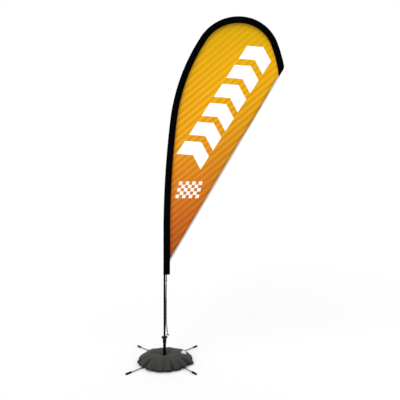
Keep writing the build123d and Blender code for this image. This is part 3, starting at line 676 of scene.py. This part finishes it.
def bag_ring(azimuth):
    """One cross-section of the bag: over the top from the hole to the rim, and back underneath."""
    rim_radius, rim_height = rim_place(azimuth)
    spoke = spoke_at(azimuth)
    ring = []
    for k in range(BAG_TOP_ROWS):
        share = sin(pi / 2 * k / BAG_TOP_ROWS) ** 0.9
        radius = BAG_HOLE_RADIUS + (rim_radius - BAG_HOLE_RADIUS) * share
        ring.append(spoke * radius + Vector((0, 0, top_height(radius, azimuth))))
    ring.append(spoke * rim_radius + Vector((0, 0, rim_height)))
    for k in range(1, BAG_BOTTOM_ROWS):
        share = k / BAG_BOTTOM_ROWS
        radius = rim_radius + (BAG_HOLE_RADIUS - rim_radius) * share
        ring.append(spoke * radius + Vector((0, 0, bottom_height(radius, azimuth))))
    for share in (0.0, 0.5):
        low, high = BAG_HOLE_HEIGHTS
        ring.append(spoke * BAG_HOLE_RADIUS + Vector((0, 0, low + (high - low) * share)))
    return ring


filler_place = Vector(joints["cap_turn"]["pos_m"])
filler_axis = Vector(joints["cap_turn"]["axis"]).normalized()


def seat_filler(point):
    """The point, moved into the filler's plane where the flange clamps the cloth."""
    offset = point - filler_place
    height = offset.dot(filler_axis)
    aside = (offset - filler_axis * height).length
    if abs(height) > 0.02:     # the lower cloth stays where it is
        return point
    held = 1 - smooth_step(aside, *FLANGE_SEAT)
    return point - filler_axis * ((height + 0.0002) * held)


def settle(piece, pressure, slack, reach, frames):
    """Swells cloth by pressure from inside, with each point kept within reach of its start."""
    start = [vertex.co.copy() for vertex in piece.data.vertices]
    cloth = piece.modifiers.new("cloth", "CLOTH")
    settings = cloth.settings
    settings.quality = 6
    settings.mass = 0.3
    settings.tension_stiffness = 15
    settings.compression_stiffness = 15
    settings.shear_stiffness = 5
    settings.bending_stiffness = 0.3
    settings.use_pressure = True
    settings.uniform_pressure_force = pressure
    settings.shrink_min = -slack          # below zero, the cloth grows
    settings.effector_weights.gravity = 0
    settings.vertex_group_mass = "held"
    settings.pin_stiffness = 1
    cloth.collision_settings.use_collision = False
    scene = bpy.context.scene
    for step in range(1, frames + 1):
        scene.frame_set(step)
    settled = piece.evaluated_get(bpy.context.evaluated_depsgraph_get()).to_mesh()
    moved = [vertex.co.copy() for vertex in settled.vertices]
    piece.modifiers.remove(cloth)
    scene.frame_set(1)
    for vertex, before, after in zip(piece.data.vertices, start, moved):
        shift = after - before
        if shift.length > reach:
            shift *= reach / shift.length
        vertex.co = before + shift


def make_bag():
    """The ring-shaped bag, gathered at its rim and lying over the legs."""
    azimuths = [360 * i / BAG_COLUMNS for i in range(BAG_COLUMNS)]
    rings = [bag_ring(azimuth) for azimuth in azimuths]
    mesh = loft("water_bag_cloth", rings, closed_path=True)
    piece = new_piece(mesh, "water_bag", "bag_fabric", "bag_top", "bag_bottom")
    ring_size = len(rings[0])
    # Painted shade: a weight per point for the dark navy painted into the deep gathers, from partway up the
    # top over the rim and underneath.
    shaded = []
    for azimuth in azimuths:
        depth = min(crease_depth(azimuth) / 0.012, 1.0)
        shaded += [depth * smooth_step(j / BAG_TOP_ROWS, 0.30, 0.60) for j in range(BAG_TOP_ROWS + 1)]
        shaded += [depth] * (ring_size - BAG_TOP_ROWS - 1)
    mesh.attributes.new("fold_shade", "FLOAT", "POINT").data.foreach_set("value", shaded)
    held = piece.vertex_groups.new(name="held")
    for i in range(len(rings)):
        hole_wall = [i * ring_size + j for j in (0, ring_size - 2, ring_size - 1)]
        underside = [i * ring_size + j for j in range(BAG_TOP_ROWS + 1, ring_size - 2)]
        held.add(hole_wall, 1.0, "REPLACE")
        held.add(underside, 0.5, "REPLACE")
    settle(piece, pressure=2.5, slack=0.06, reach=0.010, frames=24)
    for vertex in piece.data.vertices:
        vertex.co = seat_filler(above_legs(vertex.co))
    rim = [piece.data.vertices[i * ring_size + BAG_TOP_ROWS].co.copy() for i in range(BAG_COLUMNS)]
    smoother = piece.modifiers.new("roundness", "SUBSURF")
    smoother.levels = 1
    smoother.render_levels = 1
    return piece, rim


def make_piping(rim):
    """A corded edge sewn into the bag's rim."""
    drop = Vector((0, 0, PIPING_RADIUS))
    path = []
    for point in rim:
        spoke = Vector((point.x, point.y, 0)).normalized()
        lowest = above_legs(point + spoke * PIPING_RADIUS * 0.4 - drop)
        path.append(lowest + drop)
    mesh = closed_tube("bag_rim_piping", path, PIPING_RADIUS, 12)
    return new_piece(mesh, "water_bag", "black_webbing", "bag_piping")


bag, bag_rim = make_bag()
piping = make_piping(bag_rim)

# The bag and its piping each get their own copy of their mesh.
for soft_piece in (bag, piping):
    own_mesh(soft_piece)


# ---- materials
def colour(red, green, blue):
    """A display colour, 0 to 255, as the linear colour that materials use."""
    def linear(value):
        share = value / 255
        return share / 12.92 if share <= 0.04045 else ((share + 0.055) / 1.055) ** 2.4
    return (linear(red), linear(green), linear(blue), 1.0)


class Signal:
    """A number that varies over a surface, so that patterns read as plain sums and products."""

    def __init__(self, tree, socket):
        self.tree = tree
        self.socket = socket

    def operate(self, operation, *others):
        node = self.tree.nodes.new("ShaderNodeMath")
        node.operation = operation
        for place, value in zip(node.inputs, (self, *others)):
            plug(self.tree, value, place)
        return Signal(self.tree, node.outputs[0])

    __add__ = partialmethod(operate, "ADD")
    __sub__ = partialmethod(operate, "SUBTRACT")
    __mul__ = partialmethod(operate, "MULTIPLY")
    __truediv__ = partialmethod(operate, "DIVIDE")
    sine = partialmethod(operate, "SINE")
    size = partialmethod(operate, "ABSOLUTE")
    floor = partialmethod(operate, "FLOOR")
    cycle = partialmethod(operate, "FRACT")      # the part after the decimal point
    below = partialmethod(operate, "LESS_THAN")
    above = partialmethod(operate, "GREATER_THAN")
    highest = partialmethod(operate, "MAXIMUM")

    def wave(self, pitch):
        """A sine, -1 to 1, that repeats in every pitch of the signal."""
        return (self * (2 * pi / pitch)).sine()

    def raised(self):
        """A signal of -1 to 1, brought to 0 to 1."""
        return self * 0.5 + 0.5

    def fade(self, low, high):
        """0 at low, 1 at high, and a smooth change between."""
        node = self.tree.nodes.new("ShaderNodeMapRange")
        node.interpolation_type = "SMOOTHSTEP"
        plug(self.tree, self, node.inputs["Value"])
        node.inputs["From Min"].default_value = low
        node.inputs["From Max"].default_value = high
        return Signal(self.tree, node.outputs["Result"])


def plug(tree, value, place):
    """Links a signal into an input, or sets the input to a fixed value."""
    if isinstance(value, Signal):
        tree.links.new(value.socket, place)
    else:
        place.default_value = value


class Finish:
    """A material under construction: one Principled surface and the patterns that feed it."""

    def __init__(self, name, **surface):
        self.material = bpy.data.materials.new(name)
        self.material.use_nodes = True
        self.tree = self.material.node_tree
        self.surface = self.tree.nodes["Principled BSDF"]
        self.height = None
        for label, value in surface.items():
            self.set(label.replace("_", " "), value)

    def set(self, label, value):
        plug(self.tree, value, self.surface.inputs[label])

    def coordinates(self, kind, output):
        """The three numbers of a node's vector, as signals."""
        place = self.tree.nodes.new(kind)
        split = self.tree.nodes.new("ShaderNodeSeparateXYZ")
        self.tree.links.new(place.outputs[output], split.inputs[0])
        return [Signal(self.tree, socket) for socket in split.outputs]

    def position(self):
        """The place on the object, in metres."""
        return self.coordinates("ShaderNodeTexCoord", "Object")

    def metres(self):
        """Distance along a loft and round it, from its UV map."""
        return self.coordinates("ShaderNodeUVMap", "UV")[:2]

    def attribute(self, name):
        node = self.tree.nodes.new("ShaderNodeAttribute")
        node.attribute_name = name
        return Signal(self.tree, node.outputs["Fac"])

    def noise(self, scale, detail=4.0, stretch=(1, 1, 1)):
        """Cloudy variation, 0 to 1, with scale counts to a metre."""
        place = self.tree.nodes.new("ShaderNodeTexCoord")
        mapping = self.tree.nodes.new("ShaderNodeMapping")
        mapping.inputs["Scale"].default_value = stretch
        node = self.tree.nodes.new("ShaderNodeTexNoise")
        node.inputs["Scale"].default_value = scale
        node.inputs["Detail"].default_value = detail
        self.tree.links.new(place.outputs["Object"], mapping.inputs["Vector"])
        self.tree.links.new(mapping.outputs["Vector"], node.inputs["Vector"])
        return Signal(self.tree, node.outputs["Fac"])

    def mix(self, share, first, second):
        """A colour between two, by a signal from 0 to 1."""
        node = self.tree.nodes.new("ShaderNodeMix")
        node.data_type = "RGBA"
        plug(self.tree, share, node.inputs[0])
        plug(self.tree, first, node.inputs[6])
        plug(self.tree, second, node.inputs[7])
        return Signal(self.tree, node.outputs[2])

    def ramp(self, share, stops):
        """A colour that runs through stops, each (place from 0 to 1, colour)."""
        node = self.tree.nodes.new("ShaderNodeValToRGB")
        node.color_ramp.interpolation = "B_SPLINE"
        elements = node.color_ramp.elements
        while len(elements) < len(stops):
            elements.new(0.5)
        for element, (place, shade) in zip(elements, stops):
            element.position = place
            element.color = shade
        plug(self.tree, share, node.inputs["Fac"])
        return Signal(self.tree, node.outputs["Color"])

    def changed(self, operation, tint, label, value):
        """A colour changed by a vector operation, whose second input is at the given label."""
        node = self.tree.nodes.new("ShaderNodeVectorMath")
        node.operation = operation
        plug(self.tree, tint if isinstance(tint, Signal) else tint[:3], node.inputs[0])
        plug(self.tree, value, node.inputs[label])
        return Signal(self.tree, node.outputs[0])

    def shade(self, tint, factor):
        """A colour made lighter or darker by a signal."""
        return self.changed("SCALE", tint, "Scale", factor)

    def filtered(self, tint, colour_filter):
        """A colour seen through a coloured filter."""
        return self.changed("MULTIPLY", tint, 1, colour_filter)

    def relief(self, height, depth):
        """Raises the surface by a signal from 0 to 1, up to depth in metres."""
        node = self.tree.nodes.new("ShaderNodeBump")
        node.inputs["Strength"].default_value = 1.0
        node.inputs["Distance"].default_value = depth
        plug(self.tree, height, node.inputs["Height"])
        if self.height is not None:
            self.tree.links.new(self.height, node.inputs["Normal"])
        self.height = node.outputs["Normal"]
        self.tree.links.new(self.height, self.surface.inputs["Normal"])

    def weave(self, pitch, depth, first, second):
        """Threads crossing over and under each other, in two directions over the surface."""
        threads = (first.wave(pitch) * second.wave(pitch)).raised()
        self.relief(threads, depth)
        return threads


# ---- the print
WHITE = colour(255, 255, 252)
PRINT_HEIGHTS = (0.90, 3.15)             # where the gradient starts and ends
PRINT_SHADES = (                         # (place from foot to head, colour)
    (0.00, colour(172, 80, 28)),
    (0.22, colour(205, 108, 33)),
    (0.38, colour(216, 130, 30)),
    (0.55, colour(218, 149, 24)),
    (0.80, colour(229, 168, 13)),
    (1.00, colour(206, 163, 8)),
)
STRIPE_ANGLE = radians(40)               # the stripes climb to the right
STRIPE_PITCH = 0.049
STRIPE_START = 0.0201                    # shifts the stripes across their length
STRIPE_SHADES = ((1.0, 0.87, 0.72, 1.0), (1.0, 1.13, 1.28, 1.0))   # filters: towards red, and yellow
BAND_START = (0.226, 1.851)              # (x, z) of the foot of the chevrons' centre line
BAND_DIRECTION = (0.5465, 0.8375)
CHEVRON_COUNT = 6
CHEVRON_PITCH = 0.212
CHEVRON_FILL = 0.68                      # share of the pitch that is white
CHEVRON_HALF_WIDTH = 0.133
CHEVRON_SLOPE = 0.55
CHEVRON_FIRST = 0.07
PATCH_CORNER = (0.100, 1.508)            # (x, z) of the chequer patch's lower left corner
PATCH_SQUARE = 0.031
PATCH_COLUMNS = 7
PATCH_ROWS = 5
PATCH_SLANT = 0.25


def band_place(x, z):
    """Distance along the band that carries the chevrons, and distance to its right."""
    start_x, start_z = BAND_START
    along_x, along_z = BAND_DIRECTION
    right = (x - start_x) * along_z - (z - start_z) * along_x
    along = (x - start_x) * along_x + (z - start_z) * along_z
    return along, right


def chevron_band(x, z):
    """1 inside the thick chevrons that climb the flag, 0 elsewhere."""
    along, right = band_place(x, z)
    across = right.size()
    climb = along + across * CHEVRON_SLOPE - CHEVRON_FIRST
    length = CHEVRON_COUNT * CHEVRON_PITCH
    inside = across.below(CHEVRON_HALF_WIDTH) * climb.above(0.0) * climb.below(length)
    return inside * (climb / CHEVRON_PITCH).cycle().below(CHEVRON_FILL)


def chequer_patch(x, z):
    """1 in the white squares of a small slanted chequer patch, 0 elsewhere."""
    left, foot = PATCH_CORNER
    up = (z - foot) / PATCH_SQUARE
    across = (x - (z - foot) * PATCH_SLANT - left) / PATCH_SQUARE
    inside = across.above(0.0) * across.below(PATCH_COLUMNS) * up.above(0.0) * up.below(PATCH_ROWS)
    parity = ((across.floor() + up.floor()) * 0.5).cycle()
    return inside * parity.below(0.25)


def painted_border_shade(finish, x, z):
    """Painted shade on the print: darker towards the sleeve on one side and towards the hem on the other.
    """
    seam = finish.attribute("seam_distance")
    sleeve_painted_shade = seam.fade(0.0, 0.052) * 0.46 + seam.fade(0.0, 0.100) * 0.22 + 0.32
    past_edge = (x - edge_foot.x) * edge_along.z - (z - edge_foot.z) * edge_along.x
    hem_painted_shade = past_edge.fade(-0.010, -0.042) * 0.4 + 0.6
    return sleeve_painted_shade * hem_painted_shade


def printed_cloth():
    """Knitted polyester with the print: a warm gradient, soft stripes, chevrons and a small patch, with
    painted shade along the sleeve and the hem.
    """
    finish = Finish("printed_cloth", Roughness=0.80, Specular_IOR_Level=0.08)
    x, y, z = finish.position()
    foot, head = PRINT_HEIGHTS
    ground = finish.ramp((z - foot) / (head - foot), PRINT_SHADES)
    slant = z * cos(STRIPE_ANGLE) - x * sin(STRIPE_ANGLE) - STRIPE_START
    stripe = slant.wave(STRIPE_PITCH)
    warmth = (stripe * z.fade(3.1, 2.3)).raised()
    hue = finish.mix(warmth, *STRIPE_SHADES)
    band_side = band_place(x, z)[1]
    glow = (band_side + 0.19).size().fade(0.17, 0.0) * z.fade(1.5, 2.1) * z.fade(3.1, 2.75)
    lit = finish.mix(glow * 0.25, ground, colour(247, 176, 24))
    far_side = band_side.fade(0.02, 0.30) * z.fade(2.75, 1.7)
    # tone also carries painted shade along the sleeve and the hem.
    tone = (stripe * 0.073 + 1.0) * (far_side * -0.12 + 1.0) * painted_border_shade(finish, x, z)
    printed = finish.shade(finish.filtered(lit, hue), tone)
    white = chevron_band(x, z).highest(chequer_patch(x, z))
    finish.set("Base Color", finish.mix(white, printed, WHITE))
    finish.weave(0.0009, 0.00008, x, z)
    finish.relief(finish.noise(14, 3), 0.0009)
    return finish.material


# ---- the other materials
def woven_cloth(name, tint, pitch, depth, roughness, sheen, variation=0.25):
    """Plain woven cloth that takes its threads from the object's own axes."""
    finish = Finish(name, Roughness=roughness, Sheen_Weight=sheen, Specular_IOR_Level=0.02)
    x, y, z = finish.position()
    threads = finish.weave(pitch, depth, x + y * 0.7, z + y * 0.7)
    clouds = finish.noise(9, 5)
    tone = clouds * variation + (1 - variation / 2) + threads * 0.12
    finish.set("Base Color", finish.shade(tint, tone))
    finish.relief(finish.noise(60, 4), 0.0004)
    return finish.material


def coated_bag_cloth():
    """Dark coated polyester: a fine square weave under a dull coating, creased and scuffed, with painted
    shade in the deep gathers and near the floor.
    """
    finish = Finish("coated_bag_cloth", Specular_IOR_Level=0.22)
    x, y, z = finish.position()
    threads = finish.weave(0.0011, 0.00010, x, y)
    clouds = finish.noise(11, 5)
    creases = finish.noise(34, 5, (1.0, 1.0, 0.4))
    # Painted shade and light: the cloth is darker low down near the floor and lighter on top.
    height = z.fade(0.006, 0.048)
    tint = finish.mix(height, colour(34, 34, 40), colour(53, 53, 47))
    # Painted shade: the deep gathers are darkened towards navy, broken up by the clouds.
    deep = finish.attribute("fold_shade") * (clouds * 1.4).fade(0.2, 0.9)
    folded = finish.mix(deep, tint, colour(19, 19, 32))
    tone = clouds * 0.35 + 0.80 + threads * 0.10
    finish.set("Base Color", finish.shade(folded, tone))
    finish.set("Roughness", clouds * 0.2 + 0.48)
    finish.relief(creases, 0.0016)
    return finish.material


def ribbed_webbing(name, tint, rib, depth):
    """Narrow woven tape or braid, with ribs that run across its length."""
    finish = Finish(name, Roughness=0.85, Specular_IOR_Level=0.10)
    along, around = finish.metres()
    braid = (along + around).wave(rib).highest((along - around).wave(rib)).raised()
    finish.relief(braid, depth)
    finish.set("Base Color", finish.shade(tint, braid * 0.5 + 0.7))
    return finish.material


def moulded(name, tint, roughness, grain, depth, **surface):
    """Moulded plastic or rubber with a fine grain and faint handling marks."""
    finish = Finish(name, **surface)
    marks = finish.noise(24, 5)
    finish.relief(finish.noise(grain, 2), depth)
    finish.set("Base Color", finish.shade(tint, marks * 0.5 + 0.75))
    finish.set("Roughness", marks * 0.25 + (roughness - 0.12))
    return finish.material


def bare_metal(name, tint, roughness, stretch, streak=0.25, **surface):
    """Metal with fine streaks along its working direction."""
    finish = Finish(name, Metallic=1.0, **surface)
    streaks = finish.noise(300, 3, stretch)
    smudges = finish.noise(18, 4)
    finish.set("Base Color", finish.shade(tint, streaks * streak + (1 - streak / 2)))
    finish.set("Roughness", smudges * 0.16 + streaks * 0.10 + (roughness - 0.10))
    finish.relief(streaks, 0.00004)
    return finish.material


def powder_coat():
    """Black powder coat with an orange-peel skin, rubbed brighter on the edges."""
    finish = Finish("black_powder_coat", Specular_IOR_Level=0.22)
    finish.relief(finish.noise(420, 2), 0.00012)
    geometry = finish.tree.nodes.new("ShaderNodeNewGeometry")
    edges = Signal(finish.tree, geometry.outputs["Pointiness"]).fade(0.57, 0.68)
    worn = edges * finish.noise(70, 4).fade(0.45, 0.60)
    finish.set("Base Color", finish.mix(worn, colour(9, 9, 10), colour(70, 69, 67)))
    finish.set("Roughness", finish.noise(30, 4) * 0.2 + 0.36)
    return finish.material


def wound_fibre():
    """Glass-fibre tube under a gloss coat, with faint crossing windings."""
    finish = Finish("wound_glass_fibre", Roughness=0.3, Specular_IOR_Level=0.30)
    x, y, z = finish.position()
    around = x + (y * 90).sine() * 0.01
    pitch = 0.012
    windings = (z + around).wave(pitch).highest((z - around).wave(pitch)).raised()
    finish.set("Base Color", finish.shade(colour(30, 30, 32), windings * 0.5 + 0.7))
    finish.relief(windings, 0.00006)
    return finish.material


def milky_plastic():
    """Half-clear white plastic with a cool tint."""
    finish = Finish("milky_plastic", IOR=1.49, Subsurface_Weight=0.3, Specular_IOR_Level=0.4)
    finish.set("Subsurface Scale", 0.004)
    marks = finish.noise(60, 4)
    finish.set("Base Color", finish.mix(marks, colour(212, 214, 236), colour(236, 237, 250)))
    finish.set("Roughness", marks * 0.2 + 0.18)
    finish.relief(finish.noise(500, 2), 0.00003)
    return finish.material


finishes = {
    "black_steel": powder_coat(),
    "chrome": bare_metal("chrome_plate", colour(150, 152, 156), 0.22, (1, 1, 12), 0.10),
    "steel": bare_metal("zinc_plate", colour(170, 172, 175), 0.34, (1, 1, 6)),
    "bearing_steel": bare_metal("ground_steel", colour(196, 197, 200), 0.18, (1, 1, 9), 0.12),
    "brass_cage": bare_metal("brass_sheet", colour(200, 166, 98), 0.30, (1, 1, 5)),
    "black_rubber": moulded(
        "black_rubber", colour(8, 8, 8), 0.80, 900, 0.00012, Specular_IOR_Level=0.12,
    ),
    "black_plastic": moulded(
        "black_plastic", colour(7, 7, 8), 0.48, 1400, 0.00006, Specular_IOR_Level=0.18,
    ),
    "nylon": moulded("natural_nylon", colour(232, 229, 218), 0.45, 700, 0.00004, Subsurface_Weight=0.1),
    "clear_white_plastic": milky_plastic(),
    "black_aluminium": bare_metal("black_anodised", colour(12, 12, 13), 0.36, (9, 9, 0.4), 0.2),
    "black_glass_fibre": wound_fibre(),
    "bag_fabric": coated_bag_cloth(),
    "sleeve_fabric": woven_cloth("sleeve_cloth", colour(4, 4, 5), 0.0012, 0.00012, 0.95, 0.0),
    "printed_fabric": printed_cloth(),
    "liner_fabric": woven_cloth("liner_cloth", colour(80, 80, 82), 0.0010, 0.00008, 0.9, 0.1),
    # The hem tape is white cloth. Painted shade darkens its colour to grey-beige.
    "white_tape": woven_cloth("white_tape", colour(188, 182, 174), 0.0013, 0.00014, 0.8, 0.1, 0.1),
    "black_webbing": ribbed_webbing("black_webbing", colour(9, 9, 10), 0.0022, 0.00025),
    "elastic_cord": ribbed_webbing("braided_cord", colour(6, 6, 7), 0.0030, 0.00035),
}
slots = {part["node"]: part["material_slot"] for part in frame["record"]["subparts"]}


def dress(piece, slot):
    """Gives a piece one finish over its whole surface."""
    piece.data.materials.clear()
    piece.data.materials.append(finishes[slot])


for node_name, node in frame["nodes"].items():
    dress(node, slots[node_name])
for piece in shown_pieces():
    if "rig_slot" in piece and "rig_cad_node" not in piece:
        dress(piece, piece["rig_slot"])


# ---- studio
def make_floor():
    """A plain pale floor."""
    half = 20.0
    corners = [(-half, -half, 0), (half, -half, 0), (half, half, 0), (-half, half, 0)]
    mesh = bpy.data.meshes.new("floor")
    mesh.from_pydata(corners, [], [(0, 1, 2, 3)])
    floor = bpy.data.objects.new("floor", mesh)
    bpy.context.scene.collection.objects.link(floor)
    finish = Finish("pale_floor", Roughness=0.85, Specular_IOR_Level=0.1)
    finish.set("Base Color", (0.97, 0.97, 0.97, 1.0))
    mesh.materials.append(finish.material)


def make_sky(strength):
    """Even white light from all round, and a plain white background."""
    world = bpy.data.worlds.new("studio")
    bpy.context.scene.world = world
    world.use_nodes = True
    tree = world.node_tree
    light = tree.nodes["Background"]
    backdrop = tree.nodes.new("ShaderNodeBackground")
    for shader, brightness in ((light, strength), (backdrop, 1.0)):
        shader.inputs["Color"].default_value = (1, 1, 1, 1)
        shader.inputs["Strength"].default_value = brightness
    seen = tree.nodes.new("ShaderNodeLightPath")
    choose = tree.nodes.new("ShaderNodeMixShader")
    tree.links.new(seen.outputs["Is Camera Ray"], choose.inputs[0])
    tree.links.new(light.outputs[0], choose.inputs[1])
    tree.links.new(backdrop.outputs[0], choose.inputs[2])
    tree.links.new(choose.outputs[0], tree.nodes["World Output"].inputs["Surface"])


def make_key_light(direction, strength):
    """One broad, far-off light from the upper left front, soft enough to leave no hard shadow."""
    lamp = bpy.data.lights.new("key", "SUN")
    lamp.energy = strength
    lamp.angle = radians(50)
    holder = bpy.data.objects.new("key", lamp)
    holder.rotation_mode = "QUATERNION"
    holder.rotation_quaternion = Vector(direction).to_track_quat("Z", "Y")
    bpy.context.scene.collection.objects.link(holder)


def make_camera():
    """A level camera in front of the flag, at chest height."""
    lens = bpy.data.cameras.new("camera")
    lens.sensor_width = 36
    lens.lens = 32.67
    camera = bpy.data.objects.new("camera", lens)
    camera.location = (0.331, -3.39, 1.49)
    camera.rotation_euler = (pi / 2, 0, 0)
    bpy.context.scene.collection.objects.link(camera)
    bpy.context.scene.camera = camera


make_floor()
make_sky(strength=0.86)
make_key_light(direction=(-0.50, -0.62, 0.60), strength=0.95)
make_camera()
bpy.context.scene.view_settings.view_transform = "Standard"
